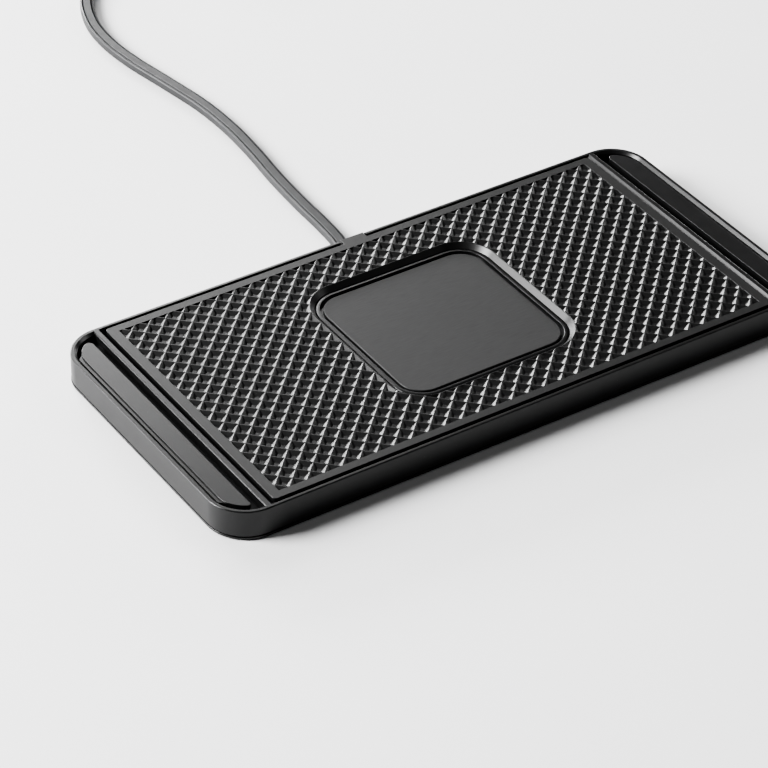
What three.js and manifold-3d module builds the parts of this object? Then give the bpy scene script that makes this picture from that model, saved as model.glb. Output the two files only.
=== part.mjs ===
// Wireless charging pad with a captive cable, in millimetres, +Z up.
// Origin: centre of the pad's footprint, on the table. X runs along the length, -Y is the front.
import * as THREE from "three";
import { mergeVertices } from "three/addons/utils/BufferGeometryUtils.js";
import Module from "manifold-3d";

const wasm = await Module();
wasm.setup();

// ---- Driving dimensions ----

const SEAM = 0.2; // running gap between two housing parts
const ARC_SEGMENTS = 4; // half the number of facets in one quarter of a rounded corner

// Body outline and levels
const LENGTH = 200;
const WIDTH = 95.5;
const CORNER_R = 12;
const EDGE_ROUND = 0.35;
const BASE_BOTTOM = 0.4; // the base stands on the anti-slip sheet
const BASE_EDGE_TOP = 1.1;
const SHELL_BOTTOM = BASE_EDGE_TOP + SEAM;
const SHELL_INSET = 0.1; // the base's edge stands proud of the wall above it
const RIM_TOP = 9.7;
const MAT_TOP = 9.85;
const DECK_TOP = 7.5;
const DECK_UNDERSIDE = 6.2;
const WALL = 1.6;

// Rim, grooves and ribs of the top face
const RIM_WIDTH = 1.25;
const RIM_CHAMFER = 0.8; // run and rise of the rim's sloping inner side at the ends
const RIB_INNER_X = 86.35;
const RIB_OUTER_X = 88.05;
const RIB_SLOPE = 1.3; // run and rise of the rib's sloping inner side
const END_POCKET_FLOOR = 6.7;
const END_POCKET_UNDERSIDE = 5.6;

// End bars, D-shaped in plan
const BAR_TOP = 9.4;
const BAR_INNER_X = 90.65;
const BAR_OUTER_X = 96.65;
const BAR_ARC_R = 8.6;
const BAR_FRONT_TIP_R = 0.8;
const BAR_BACK_TIP_R = 1.5;
const BAR_EDGE_ROUND = 0.15;
const TIER_TOP = 9; // lower step along the bar's outer side
const TIER_WIDTH = 1;
const TIER_HALF_LENGTH = 37.5;
const TIER_END_RUN = 2;

// Grip mat
const MAT_HALF_X = 84.85;
const MAT_HALF_Y = 45.4;
const MAT_CORNER_R = 1.2;
const MAT_BOTTOM = DECK_TOP + 0.1;
const TAB_HALF_WIDTH = 4;
const TAB_BOTTOM = 8;

// Charging plate, the lip round it and the mat's bevelled window
const PLATE_HALF_X = 27;
const PLATE_HALF_Y = 26;
const PLATE_CORNER_R = 7.4;
const PLATE_TOP = 8.4;
const PLATE_EDGE_ROUND = 0.25;
const LIP_GAP = 0.95;
const LIP_WIDTH = 1.35;
const LIP_TOP = 8.55;
const WINDOW_RUN = 1.4; // horizontal run of the mat window's bevel
const COIL_WINDOW_HALF = 24.6;
const COIL_WINDOW_R = 5;

// Cable outlet at the back
const OUTLET_HALF_WIDTH = TAB_HALF_WIDTH + 0.4;
const GROMMET_TOP = TAB_BOTTOM - 0.1;
const FLANGE_DEPTH = 2.4; // the grommet's part behind the wall
const FLANGE_INSET = 0.5;
const FLANGE_LIFT = 1.2;
const CABLE_WIDTH = 4.5;
const CABLE_HEIGHT = 3.1;
const CABLE_FLOOR_GAP = 0.05;
const CABLE_ROUND = 0.8;
const PIVOT_X = 0.2;
const PIVOT_Y = WIDTH / 2 + 2.6;

// Coil stack
const WIRE_R = 0.5;
const COIL_INNER_R = 10.5;
const COIL_TURNS = 9;
const COIL_PITCH = 1.3;
const COIL_Z = 6.55;
const FERRITE_BOTTOM = 5.1;
const FERRITE_TOP = 5.9;
const FERRITE_HALF = 24;
const SHIELD_BOTTOM = 4.3;
const SHIELD_TOP = 4.9;
const SHIELD_HALF = 27;
const STACK_HOLE_R = 1.5;
const SENSOR_HOLE = [0, 0];
const INNER_LEAD_HOLE = [8.2, -1.6];
const OUTER_LEAD_HOLE = [23.4, 3];
const LEAD_R = 0.45;
const SENSOR_HALF_X = 2.2;
const SENSOR_HALF_Y = 1.2;
const SENSOR_LEAD_R = 0.35;
const SUPPLY_WIRE_R = 0.6;
const STACK_CORNER_R = 3;
const LEAD_Z = 3.7; // centre of the leads where they run under the shield to the board

// Circuit board
const BOARD_X = 53;
const BOARD_Y = 8;
const BOARD_HALF_X = 19;
const BOARD_HALF_Y = 23;
const BOARD_BOTTOM = 2.2;
const BOARD_TOP = 3.2;
const SOLDER_GAP = 0.05;
const BOARD_POST_R = 1.6;
const BOARD_POST_INSET = 3;

// Fasteners and anti-slip sheet
const SCREW_HEAD_R = 2.1;
const SCREW_HEAD_HEIGHT = 1;
const SCREW_SHANK_R = 0.9;
const SCREW_LENGTH = 4.2;
const SCREW_TIP = 0.6;
const SCREW_RECESS_R = 1;
const SCREW_CLEARANCE = 0.25;
const BOSS_R = 3.4;
const BASE_BOSS_TOP = 2.4;
const SCREW_SEAT = 1.6;
const SCREW_PLACES = [
  [-89, -36],
  [89, -36],
  [-89, 36],
  [89, 36],
  [-40, -41],
  [40, -41],
  [-40, 41],
  [40, 41],
];
const SHEET_HALF_X = 78;
const SHEET_HALF_Y = 33;
const SHEET_CORNER_R = 8;

// Plug
const PLUG_START = [62, 236];
const OVERMOULD_LENGTH = 24;
const OVERMOULD_WIDTH = 15.4;
const OVERMOULD_HEIGHT = 8;
const PLUG_SHELL_LENGTH = 12;
const PLUG_SHELL_WIDTH = 12;
const PLUG_SHELL_HEIGHT = 4.5;
const PLUG_SHELL_WALL = 0.35;
const PLUG_SHELL_HIDDEN = 2.4; // length of the shell inside the overmould
const PLUG_LATCH_HALF = 1.1; // the two square latch windows in the shell's top
const PLUG_LATCH_Y = 2.6;
const PLUG_LATCH_X = 5; // from the shell's open end
const OVERMOULD_CORNER_R = 2;
const OVERMOULD_EDGE_ROUND = 1.2;
const SQUARE_NOSE_LENGTH = 6;
const CABLE_ROOM_DEPTH = 3;
const CABLE_ROOM_GAP = 0.3;
const SOCKET_DEPTH = 2.5;
const SOCKET_GAP = 0.1;
const TONGUE_INSET = 0.2; // from the shell's hidden end
const TONGUE_SHORT = 0.8; // from the shell's open end
const CONTACT_PITCH = 2.3;
const CONTACT_HALF_LENGTH = 4;
const CONTACT_HALF_WIDTH = 0.5;
const CONTACT_THICKNESS = 0.15;
const CONTACT_START = 1; // from the overmould's end
const PLUG_CENTRE_Z = OVERMOULD_HEIGHT / 2 + 0.1;

// ---- Materials ----

function material(color, roughness, metalness = 0) {
  return new THREE.MeshStandardMaterial({ color, roughness, metalness });
}

const housingBlack = material(0x151516, 0.42);
const siliconeBlack = material(0x131313, 0.6);
const plateBlack = material(0x19191a, 0.5);
const cableGrey = material(0x2a2b2d, 0.55);
const ferriteGrey = material(0x3a3a3c, 0.8);
const aluminium = material(0xb9bcc0, 0.4, 0.9);
const copper = material(0xb8703c, 0.35, 0.9);
const boardGreen = material(0x1d5a36, 0.55);
const chipBlack = material(0x101012, 0.5);
const ceramicTan = material(0xa6784c, 0.6);
const steel = material(0xa9abad, 0.32, 0.95);
const redInsulation = material(0xa81f1f, 0.5);
const blackInsulation = material(0x17171a, 0.5);
const contactGold = material(0xcfa548, 0.3, 0.95);

// ---- Geometry helpers ----

// A rectangle with round corners, centred at (x, y).
function roundedRectangle(halfX, halfY, radius, x = 0, y = 0) {
  const shape = new THREE.Shape();
  const quarter = Math.PI / 2;
  const corners = [
    [halfX - radius, -halfY + radius, -quarter],
    [halfX - radius, halfY - radius, 0],
    [-halfX + radius, halfY - radius, quarter],
    [-halfX + radius, -halfY + radius, 2 * quarter],
  ];
  for (const [cx, cy, start] of corners) {
    shape.absarc(x + cx, y + cy, radius, start, start + quarter, false);
  }
  return shape;
}

// A shape extruded straight up between two levels.
function slab(shape, bottom, top) {
  const geometry = new THREE.ExtrudeGeometry(shape, {
    depth: top - bottom,
    bevelEnabled: false,
    curveSegments: ARC_SEGMENTS,
  });
  return geometry.translate(0, 0, bottom);
}

// A slab whose top and bottom edges are rounded by the given radius.
function roundedSlab(shape, bottom, top, round) {
  const geometry = new THREE.ExtrudeGeometry(shape, {
    depth: top - bottom - 2 * round,
    bevelThickness: round,
    bevelSize: round,
    bevelOffset: -round,
    bevelSegments: 2,
    curveSegments: ARC_SEGMENTS,
  });
  return geometry.translate(0, 0, bottom + round);
}

// A solid that widens by the given run from its shape at the bottom to its top, and goes on above it.
function flare(shape, bottom, top, run) {
  const geometry = new THREE.ExtrudeGeometry(shape, {
    depth: 1,
    bevelThickness: top - bottom,
    bevelSize: run,
    bevelOffset: 0,
    bevelSegments: 1,
    curveSegments: ARC_SEGMENTS,
  });
  return geometry.translate(0, 0, top);
}

function box(halfX, halfY, bottom, top, x = 0, y = 0) {
  const geometry = new THREE.BoxGeometry(2 * halfX, 2 * halfY, top - bottom);
  return geometry.translate(x, y, (bottom + top) / 2);
}

function post(radius, bottom, top, x, y, sides = 14) {
  const geometry = new THREE.CylinderGeometry(radius, radius, top - bottom, sides);
  return geometry.rotateX(Math.PI / 2).translate(x, y, (bottom + top) / 2);
}

// A flat section of [x, z] points extruded along Y, from -half to half.
function alongY(section, half) {
  const shape = new THREE.Shape(section.map(([x, z]) => new THREE.Vector2(x, z)));
  const geometry = new THREE.ExtrudeGeometry(shape, { depth: 2 * half, bevelEnabled: false });
  return geometry.rotateX(Math.PI / 2).translate(0, half, 0);
}

// A closed geometry as a manifold solid.
function solid(geometry) {
  const bare = geometry.clone();
  bare.deleteAttribute("normal");
  bare.deleteAttribute("uv");
  const merged = mergeVertices(bare, 1e-4);
  const vertProperties = new Float32Array(merged.attributes.position.array);
  const triVerts = new Uint32Array(merged.index.array);
  return new wasm.Manifold(new wasm.Mesh({ numProp: 3, vertProperties, triVerts }));
}

// A manifold solid back as a three.js geometry.
function geometryOf(manifold) {
  const mesh = manifold.getMesh();
  const geometry = new THREE.BufferGeometry();
  geometry.setAttribute("position", new THREE.BufferAttribute(mesh.vertProperties, 3));
  geometry.setIndex(new THREE.BufferAttribute(mesh.triVerts, 1));
  geometry.computeVertexNormals();
  return geometry;
}

function cutAll(start, cutters) {
  return cutters.reduce((body, cutter) => body.subtract(solid(cutter)), start);
}

function joinAll(start, additions) {
  return additions.reduce((body, addition) => body.add(solid(addition)), start);
}

// A round wire or tube of the given radius through a list of points.
function wire(points, radius, steps = 18, sides = 3) {
  const section = new THREE.Shape();
  section.absarc(0, 0, radius, 0, 2 * Math.PI, false);
  const path = new THREE.CatmullRomCurve3(points.map((point) => new THREE.Vector3(...point)));
  return new THREE.ExtrudeGeometry(section, { steps, extrudePath: path, curveSegments: sides });
}

function named(name, geometry, mat) {
  const mesh = new THREE.Mesh(geometry, mat);
  mesh.name = name;
  return mesh;
}

// The body outline moved inwards by the given distance.
function outline(inset) {
  return roundedRectangle(LENGTH / 2 - inset, WIDTH / 2 - inset, CORNER_R - inset);
}

function plateOutline(offset) {
  const [x, y] = [PLATE_HALF_X + offset, PLATE_HALF_Y + offset];
  return roundedRectangle(x, y, PLATE_CORNER_R + offset);
}

// ---- Housing ----

// The D-shaped pocket between the rim and the outer rib at one end (side is 1 or -1).
function endPocket(side) {
  const foot = outline(RIM_WIDTH + RIM_CHAMFER);
  const straight = solid(slab(foot, END_POCKET_FLOOR, RIM_TOP));
  const inside = straight.add(solid(flare(foot, RIM_TOP - RIM_CHAMFER, RIM_TOP, RIM_CHAMFER)));
  const half = (LENGTH / 2 - RIB_OUTER_X) / 2;
  const endZone = box(half, WIDTH, END_POCKET_FLOOR, RIM_TOP + 1, side * (RIB_OUTER_X + half));
  return inside.intersect(solid(endZone));
}

// The seat of the grip mat, with the sloping inner side of each rib.
function matSeat() {
  const halfY = WIDTH / 2 - RIM_WIDTH;
  const footX = RIB_INNER_X - RIB_SLOPE;
  const above = 1;
  const slopes = [
    [footX, RIM_TOP - RIB_SLOPE],
    [RIB_INNER_X + above, RIM_TOP + above],
    [-RIB_INNER_X - above, RIM_TOP + above],
    [-footX, RIM_TOP - RIB_SLOPE],
  ];
  return solid(box(footX, halfY, DECK_TOP, RIM_TOP)).add(solid(alongY(slopes, halfY)));
}

// The room under the deck; it is shallower under the end pockets.
function innerRoom() {
  const lower = solid(slab(outline(WALL), 0, END_POCKET_UNDERSIDE));
  const upper = box(RIB_INNER_X - 2 * RIB_SLOPE, WIDTH / 2 - WALL, 1, DECK_UNDERSIDE);
  return lower.add(solid(upper));
}

function screwBosses(radius, bottom, top) {
  return SCREW_PLACES.map(([x, y]) => post(radius, bottom, top, x, y));
}

function housingShell() {
  const lower = solid(slab(outline(SHELL_INSET), SHELL_BOTTOM, RIM_TOP - 2 * EDGE_ROUND));
  const crown = roundedSlab(outline(SHELL_INSET), RIM_TOP - 4 * EDGE_ROUND, RIM_TOP, EDGE_ROUND);
  let shell = lower.add(solid(crown));
  shell = shell.subtract(matSeat()).subtract(endPocket(1)).subtract(endPocket(-1));
  shell = shell.subtract(innerRoom());
  const lipOuter = solid(slab(plateOutline(LIP_GAP + LIP_WIDTH), DECK_UNDERSIDE, LIP_TOP));
  const lip = lipOuter.subtract(solid(slab(plateOutline(LIP_GAP), DECK_TOP, LIP_TOP + 1)));
  shell = shell.add(lip);
  shell = joinAll(shell, screwBosses(BOSS_R, BASE_BOSS_TOP + SEAM, END_POCKET_UNDERSIDE + 0.7));
  const outlet = box(OUTLET_HALF_WIDTH, WALL + 1, 0, RIM_TOP + 1, 0, WIDTH / 2);
  return cutAll(shell, [
    slab(roundedRectangle(COIL_WINDOW_HALF, COIL_WINDOW_HALF, COIL_WINDOW_R), 0, RIM_TOP),
    outlet,
    ...screwBosses(SCREW_SHANK_R + SCREW_CLEARANCE, 0, END_POCKET_UNDERSIDE - 0.1),
  ]);
}

function baseCover() {
  const plate = solid(roundedSlab(outline(0), BASE_BOTTOM, BASE_EDGE_TOP, SEAM));
  const tongueInset = WALL + SEAM;
  const tongueOuter = solid(slab(outline(tongueInset), BASE_BOTTOM + SEAM, BASE_EDGE_TOP + 1));
  const tongueInner = slab(outline(tongueInset + 1), BASE_EDGE_TOP, RIM_TOP);
  let cover = plate.add(tongueOuter.subtract(solid(tongueInner)));
  cover = joinAll(cover, screwBosses(BOSS_R, BASE_BOTTOM + SEAM, BASE_BOSS_TOP));
  for (const [x, y] of boardPosts()) {
    cover = cover.add(solid(post(BOARD_POST_R, BASE_BOTTOM + SEAM, BOARD_BOTTOM - SOLDER_GAP, x, y)));
  }
  return cutAll(cover, [
    ...screwBosses(SCREW_HEAD_R + SCREW_CLEARANCE, 0, SCREW_SEAT),
    ...screwBosses(SCREW_SHANK_R + SCREW_CLEARANCE, 0, RIM_TOP),
    box(OUTLET_HALF_WIDTH, WALL + 2, BASE_EDGE_TOP, RIM_TOP, 0, WIDTH / 2 - WALL),
  ]);
}

// A bar's tip: the radius and centre of its rounding, and the angle where the outer arc meets it.
function barTip(radius) {
  const run = BAR_INNER_X + radius - (BAR_OUTER_X - BAR_ARC_R);
  const angle = Math.acos(run / (BAR_ARC_R - radius));
  const y = WIDTH / 2 - CORNER_R + (BAR_ARC_R - radius) * Math.sin(angle);
  return { radius, angle, x: BAR_INNER_X + radius, y };
}

// The lower step along the outer side of a bar; its ends slant back into the bar.
function barTier() {
  const [innerX, outerX] = [BAR_OUTER_X - 1, BAR_OUTER_X + TIER_WIDTH];
  const tipY = TIER_HALF_LENGTH + TIER_END_RUN;
  const corners = [
    [innerX, -tipY],
    [outerX, -TIER_HALF_LENGTH],
    [outerX, TIER_HALF_LENGTH],
    [innerX, tipY],
  ];
  const shape = new THREE.Shape(corners.map(([x, y]) => new THREE.Vector2(x, y)));
  return slab(shape, END_POCKET_FLOOR, TIER_TOP);
}

// A D-shaped bar: straight inner side, outer side concentric with the body's corners.
function endBar(side) {
  const arcX = BAR_OUTER_X - BAR_ARC_R;
  const arcY = WIDTH / 2 - CORNER_R;
  const front = barTip(BAR_FRONT_TIP_R);
  const back = barTip(BAR_BACK_TIP_R);
  const shape = new THREE.Shape();
  shape.absarc(front.x, -front.y, front.radius, Math.PI, 2 * Math.PI - front.angle, false);
  shape.absarc(arcX, -arcY, BAR_ARC_R, -front.angle, 0, false);
  shape.absarc(arcX, arcY, BAR_ARC_R, 0, back.angle, false);
  shape.absarc(back.x, back.y, back.radius, back.angle, Math.PI, false);
  const top = solid(roundedSlab(shape, END_POCKET_FLOOR, BAR_TOP, BAR_EDGE_ROUND));
  const bar = top.add(solid(barTier()));
  return geometryOf(side > 0 ? bar : bar.mirror([1, 0, 0]));
}

// ---- Mat and plate ----

function gripMat() {
  const sheet = roundedRectangle(MAT_HALF_X, MAT_HALF_Y, MAT_CORNER_R);
  const backEdge = WIDTH / 2 - 0.1;
  const tabHalfY = backEdge - MAT_HALF_Y + 0.5;
  const tab = box(TAB_HALF_WIDTH, tabHalfY, TAB_BOTTOM, MAT_TOP, 0, backEdge - tabHalfY);
  return solid(slab(sheet, MAT_BOTTOM, MAT_TOP)).add(solid(tab)).subtract(solid(matWindow()));
}

// The flared cutter for the mat's window: just clear of the lip at the mat's underside, wider at its top.
function matWindow() {
  const below = 0.5;
  const slope = WINDOW_RUN / (MAT_TOP - MAT_BOTTOM);
  const foot = plateOutline(LIP_GAP + LIP_WIDTH + SEAM - slope * below);
  return flare(foot, MAT_BOTTOM - below, MAT_TOP, WINDOW_RUN + slope * below);
}

// ---- Cable outlet and cable ----

function cableGrommet() {
  const bottom = BASE_EDGE_TOP + SEAM;
  const y = WIDTH / 2;
  const block = solid(box(TAB_HALF_WIDTH, WALL / 2, bottom, GROMMET_TOP, 0, y - WALL / 2));
  const flangeTop = DECK_UNDERSIDE - 2 * SEAM;
  const flangeY = y - WALL - FLANGE_DEPTH / 2 + SEAM;
  const flangeHalfX = TAB_HALF_WIDTH - FLANGE_INSET;
  const flange = box(flangeHalfX, FLANGE_DEPTH / 2, bottom + FLANGE_LIFT, flangeTop, 0, flangeY);
  return block.add(solid(flange));
}

// The cable's path on the table, from the pivot behind the outlet to the plug.
function cablePath() {
  const z = CABLE_FLOOR_GAP + CABLE_HEIGHT / 2;
  const places = [
    [PIVOT_X, PIVOT_Y],
    [1.9, 58],
    [2.7, 68],
    [3.1, 80],
    [4.2, 96],
    [6, 112],
    [7, 128],
    [6.4, 144],
    [3.7, 162],
    [1, 178],
    [0, 192],
    [1.4, 205],
    [6.2, 218],
    [14, 229],
    [26, 236.5],
    [42, 238.5],
    [54, 236.8],
    [PLUG_START[0] + 2, PLUG_START[1]],
  ];
  const points = places.map(([x, y]) => new THREE.Vector3(x, y, z));
  return new THREE.CatmullRomCurve3(points, false, "centripetal");
}

function chargingCable() {
  const flat = roundedRectangle(CABLE_HEIGHT / 2, CABLE_WIDTH / 2, CABLE_ROUND);
  const run = new THREE.ExtrudeGeometry(flat, { steps: 48, extrudePath: cablePath(), curveSegments: 1 });
  const top = CABLE_FLOOR_GAP + CABLE_HEIGHT - 0.1;
  const roundEnd = post(CABLE_WIDTH / 2 - 0.05, CABLE_FLOOR_GAP + 0.1, top, PIVOT_X, PIVOT_Y);
  return solid(run).add(solid(roundEnd));
}

// ---- Plug, built along +X from its start at the cable's end ----

function plugOvermould() {
  const halfLength = OVERMOULD_LENGTH / 2;
  const shape = roundedRectangle(halfLength, OVERMOULD_WIDTH / 2, OVERMOULD_CORNER_R);
  const [low, high] = [PLUG_CENTRE_Z - OVERMOULD_HEIGHT / 2, PLUG_CENTRE_Z + OVERMOULD_HEIGHT / 2];
  const body = roundedSlab(shape, low, high, OVERMOULD_EDGE_ROUND).translate(halfLength, 0, 0);
  const noseHalf = SQUARE_NOSE_LENGTH / 2;
  const squareNose = box(noseHalf, OVERMOULD_WIDTH / 2, low, high, OVERMOULD_LENGTH - noseHalf);
  const roomTop = CABLE_HEIGHT + CABLE_FLOOR_GAP + CABLE_ROOM_GAP;
  const cableRoom = box(CABLE_ROOM_DEPTH, CABLE_WIDTH / 2 + CABLE_ROOM_GAP, 0, roomTop, 0);
  const socketWidth = PLUG_SHELL_WIDTH + 2 * SOCKET_GAP;
  const socketHeight = PLUG_SHELL_HEIGHT + 2 * SOCKET_GAP;
  const socket = new THREE.BoxGeometry(2 * SOCKET_DEPTH, socketWidth, socketHeight);
  socket.translate(OVERMOULD_LENGTH, 0, PLUG_CENTRE_Z);
  return cutAll(solid(body).add(solid(squareNose)), [cableRoom, socket]);
}

function plugShell() {
  const end = OVERMOULD_LENGTH + PLUG_SHELL_LENGTH;
  const length = PLUG_SHELL_LENGTH + PLUG_SHELL_HIDDEN;
  const outer = new THREE.BoxGeometry(length, PLUG_SHELL_WIDTH, PLUG_SHELL_HEIGHT);
  const wall = 2 * PLUG_SHELL_WALL;
  const inner = new THREE.BoxGeometry(length + 1, PLUG_SHELL_WIDTH - wall, PLUG_SHELL_HEIGHT - wall);
  const latches = [-1, 1].map((side) => {
    const y = side * PLUG_LATCH_Y;
    return box(PLUG_LATCH_HALF, PLUG_LATCH_HALF, PLUG_CENTRE_Z, RIM_TOP, end - PLUG_LATCH_X, y);
  });
  outer.translate(end - length / 2, 0, PLUG_CENTRE_Z);
  inner.translate(end - length / 2, 0, PLUG_CENTRE_Z);
  return cutAll(solid(outer), [inner, ...latches]);
}

// The plastic tongue that fills the lower half of the plug's shell.
function plugTongue() {
  const start = OVERMOULD_LENGTH - PLUG_SHELL_HIDDEN + TONGUE_INSET;
  const end = OVERMOULD_LENGTH + PLUG_SHELL_LENGTH - TONGUE_SHORT;
  const halfWidth = PLUG_SHELL_WIDTH / 2 - PLUG_SHELL_WALL - SOCKET_GAP;
  const bottom = PLUG_CENTRE_Z - PLUG_SHELL_HEIGHT / 2 + PLUG_SHELL_WALL + SOLDER_GAP;
  return box((end - start) / 2, halfWidth, bottom, PLUG_CENTRE_Z, (start + end) / 2);
}

function plugContacts() {
  const top = PLUG_CENTRE_Z + CONTACT_THICKNESS;
  const x = OVERMOULD_LENGTH + CONTACT_START + CONTACT_HALF_LENGTH;
  return [-1.5, -0.5, 0.5, 1.5].map((place) =>
    box(CONTACT_HALF_LENGTH, CONTACT_HALF_WIDTH, PLUG_CENTRE_Z, top, x, place * CONTACT_PITCH),
  );
}

// ---- Coil stack and electronics ----

// A flat spiral seen from above; the wire starts at the inside.
class FlatSpiral extends THREE.Curve {
  getPoint(t, target = new THREE.Vector3()) {
    const angle = 2 * Math.PI * COIL_TURNS * t;
    const radius = COIL_INNER_R + COIL_TURNS * COIL_PITCH * t;
    return target.set(radius * Math.cos(angle), radius * Math.sin(angle), COIL_Z);
  }
}

function transmitterCoil() {
  const section = new THREE.Shape();
  section.absarc(0, 0, WIRE_R, 0, 2 * Math.PI, false);
  const options = { steps: COIL_TURNS * 14, extrudePath: new FlatSpiral(), curveSegments: 2 };
  return new THREE.ExtrudeGeometry(section, options);
}

// A square sheet of the coil stack, with the holes that the sensor and the coil's leads pass through.
function stackSheet(half, bottom, top) {
  const sheet = solid(slab(roundedRectangle(half, half, STACK_CORNER_R), bottom, top));
  const holes = [SENSOR_HOLE, INNER_LEAD_HOLE, OUTER_LEAD_HOLE];
  return cutAll(sheet, holes.map(([x, y]) => post(STACK_HOLE_R, 0, RIM_TOP, x, y)));
}

function temperatureSensor() {
  const [x, y] = SENSOR_HOLE;
  const bead = solid(box(SENSOR_HALF_X, SENSOR_HALF_Y, FERRITE_TOP + 0.1, COIL_Z + WIRE_R, x, y));
  const lead = [
    [x, y, FERRITE_TOP + 0.4],
    [x, y, SHIELD_TOP],
    [x + 0.2, y, SHIELD_BOTTOM - 0.1],
    [x + 2.5, y + 0.8, LEAD_Z - 0.1],
    [x + 30, y, LEAD_Z - 0.1],
    [BOARD_X - BOARD_HALF_X + 3, y - 1.5, LEAD_Z],
  ];
  return bead.add(solid(wire(lead, SENSOR_LEAD_R, 16, 2)));
}

// A coil lead that drops through its hole in the stack and runs flat to the board.
function coilLead([x, y], turnY, boardY) {
  const drop = [
    [x - 0.4, y, COIL_Z - 0.3],
    [x, y, FERRITE_TOP],
    [x, y, SHIELD_TOP - 0.1],
    [x + 1.4, turnY, LEAD_Z + 0.1],
  ];
  const run = [
    [28 + x / 8, boardY, LEAD_Z],
    [BOARD_X - BOARD_HALF_X + 2, boardY, LEAD_Z],
  ];
  return wire([...drop, ...run], LEAD_R);
}

// A supply wire from the outlet to the board, with a left and then a right quarter bend.
function supplyWire(firstRadius) {
  const z = BOARD_TOP + 0.75;
  const diagonal = Math.SQRT1_2;
  const [firstX, firstY] = [7, 40];
  const [lastX, lastY] = [BOARD_X - 12, BOARD_Y + BOARD_HALF_Y - 2];
  const lastRadius = firstY - firstRadius - lastY;
  return wire(
    [
      [firstX - firstRadius, WIDTH / 2 - WALL - 3, z],
      [firstX - firstRadius, firstY, z],
      [firstX - diagonal * firstRadius, firstY - diagonal * firstRadius, z],
      [firstX, firstY - firstRadius, z],
      [lastX, lastY + lastRadius, z],
      [lastX + diagonal * lastRadius, lastY + diagonal * lastRadius, z],
      [lastX + lastRadius, lastY, z],
      [lastX + lastRadius, lastY - 2, z],
    ],
    SUPPLY_WIRE_R,
    24,
  );
}

function boardPosts() {
  const [x, y] = [BOARD_HALF_X - BOARD_POST_INSET, BOARD_HALF_Y - BOARD_POST_INSET];
  return [
    [BOARD_X - x, BOARD_Y - y],
    [BOARD_X + x, BOARD_Y - y],
    [BOARD_X - x, BOARD_Y + y],
    [BOARD_X + x, BOARD_Y + y],
  ];
}

function circuitBoard() {
  const shape = roundedRectangle(BOARD_HALF_X, BOARD_HALF_Y, 1.5, BOARD_X, BOARD_Y);
  return slab(shape, BOARD_BOTTOM, BOARD_TOP);
}

// A boxy component soldered to the board, placed from the board's centre.
function onBoard(halfX, halfY, height, dx, dy) {
  const bottom = BOARD_TOP + SOLDER_GAP;
  return box(halfX, halfY, bottom, bottom + height, BOARD_X + dx, BOARD_Y + dy);
}

// ---- Fasteners and anti-slip sheet ----

function baseScrew([x, y]) {
  const headBottom = SCREW_SEAT - SCREW_HEAD_HEIGHT;
  const profile = [
    [0, headBottom],
    [SCREW_HEAD_R, headBottom],
    [SCREW_HEAD_R, SCREW_SEAT - SOLDER_GAP],
    [SCREW_SHANK_R, SCREW_SEAT - SOLDER_GAP],
    [SCREW_SHANK_R, headBottom + SCREW_LENGTH - SCREW_TIP],
    [0, headBottom + SCREW_LENGTH],
  ].map(([radius, level]) => new THREE.Vector2(radius, level));
  const screw = new THREE.LatheGeometry(profile, 12).rotateX(Math.PI / 2).translate(x, y, 0);
  const half = SCREW_HEAD_HEIGHT / 2;
  const recess = post(SCREW_RECESS_R, headBottom - half, headBottom + half, x, y, 6);
  return solid(screw).subtract(solid(recess));
}

function antiSlipSheet() {
  return slab(roundedRectangle(SHEET_HALF_X, SHEET_HALF_Y, SHEET_CORNER_R), 0, BASE_BOTTOM);
}

// ---- Assembly ----

const pad = new THREE.Group();

pad.add(
  named("housing_shell", geometryOf(housingShell()), housingBlack),
  named("base_cover", geometryOf(baseCover()), housingBlack),
  named("end_bar_left", endBar(-1), housingBlack),
  named("end_bar_right", endBar(1), housingBlack),
  named("grip_mat", geometryOf(gripMat()), siliconeBlack),
  named("charging_plate", roundedSlab(plateOutline(0), DECK_TOP, PLATE_TOP, PLATE_EDGE_ROUND), plateBlack),
  named("cable_grommet", geometryOf(cableGrommet()), housingBlack),
);

pad.add(
  named("transmitter_coil", transmitterCoil(), copper),
  named("ferrite_sheet", geometryOf(stackSheet(FERRITE_HALF, FERRITE_BOTTOM, FERRITE_TOP)), ferriteGrey),
  named("shield_plate", geometryOf(stackSheet(SHIELD_HALF, SHIELD_BOTTOM, SHIELD_TOP)), aluminium),
  named("temperature_sensor", geometryOf(temperatureSensor()), blackInsulation),
  named("coil_lead_inner", coilLead(INNER_LEAD_HOLE, -2, -8), copper),
  named("coil_lead_outer", coilLead(OUTER_LEAD_HOLE, 3.2, 4), copper),
  named("supply_wire_positive", supplyWire(8), redInsulation),
  named("supply_wire_negative", supplyWire(6), blackInsulation),
);

pad.add(
  named("circuit_board", circuitBoard(), boardGreen),
  named("controller_chip", onBoard(3.5, 3.5, 0.9, 1, -2), chipBlack),
  named("driver_chip_front", onBoard(2.5, 2.5, 0.8, -9, -10), chipBlack),
  named("driver_chip_back", onBoard(2.5, 2.5, 0.8, -9, 1), chipBlack),
  named("filter_inductor", onBoard(3.4, 3.4, 2.2, 11, 10), ferriteGrey),
  named("input_capacitor", onBoard(1.6, 2.4, 1.8, 3, 12), ceramicTan),
);
for (let i = 0; i < 4; i += 1) {
  pad.add(named("resonance_capacitor_" + (i + 1), onBoard(1.3, 1.6, 1.6, 11, -17 + 4.4 * i), ceramicTan));
}

SCREW_PLACES.forEach((place, i) => {
  pad.add(named("base_screw_" + (i + 1), geometryOf(baseScrew(place)), steel));
});
pad.add(named("anti_slip_sheet", antiSlipSheet(), siliconeBlack));

pad.add(named("charging_cable", geometryOf(chargingCable()), cableGrey));

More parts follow.
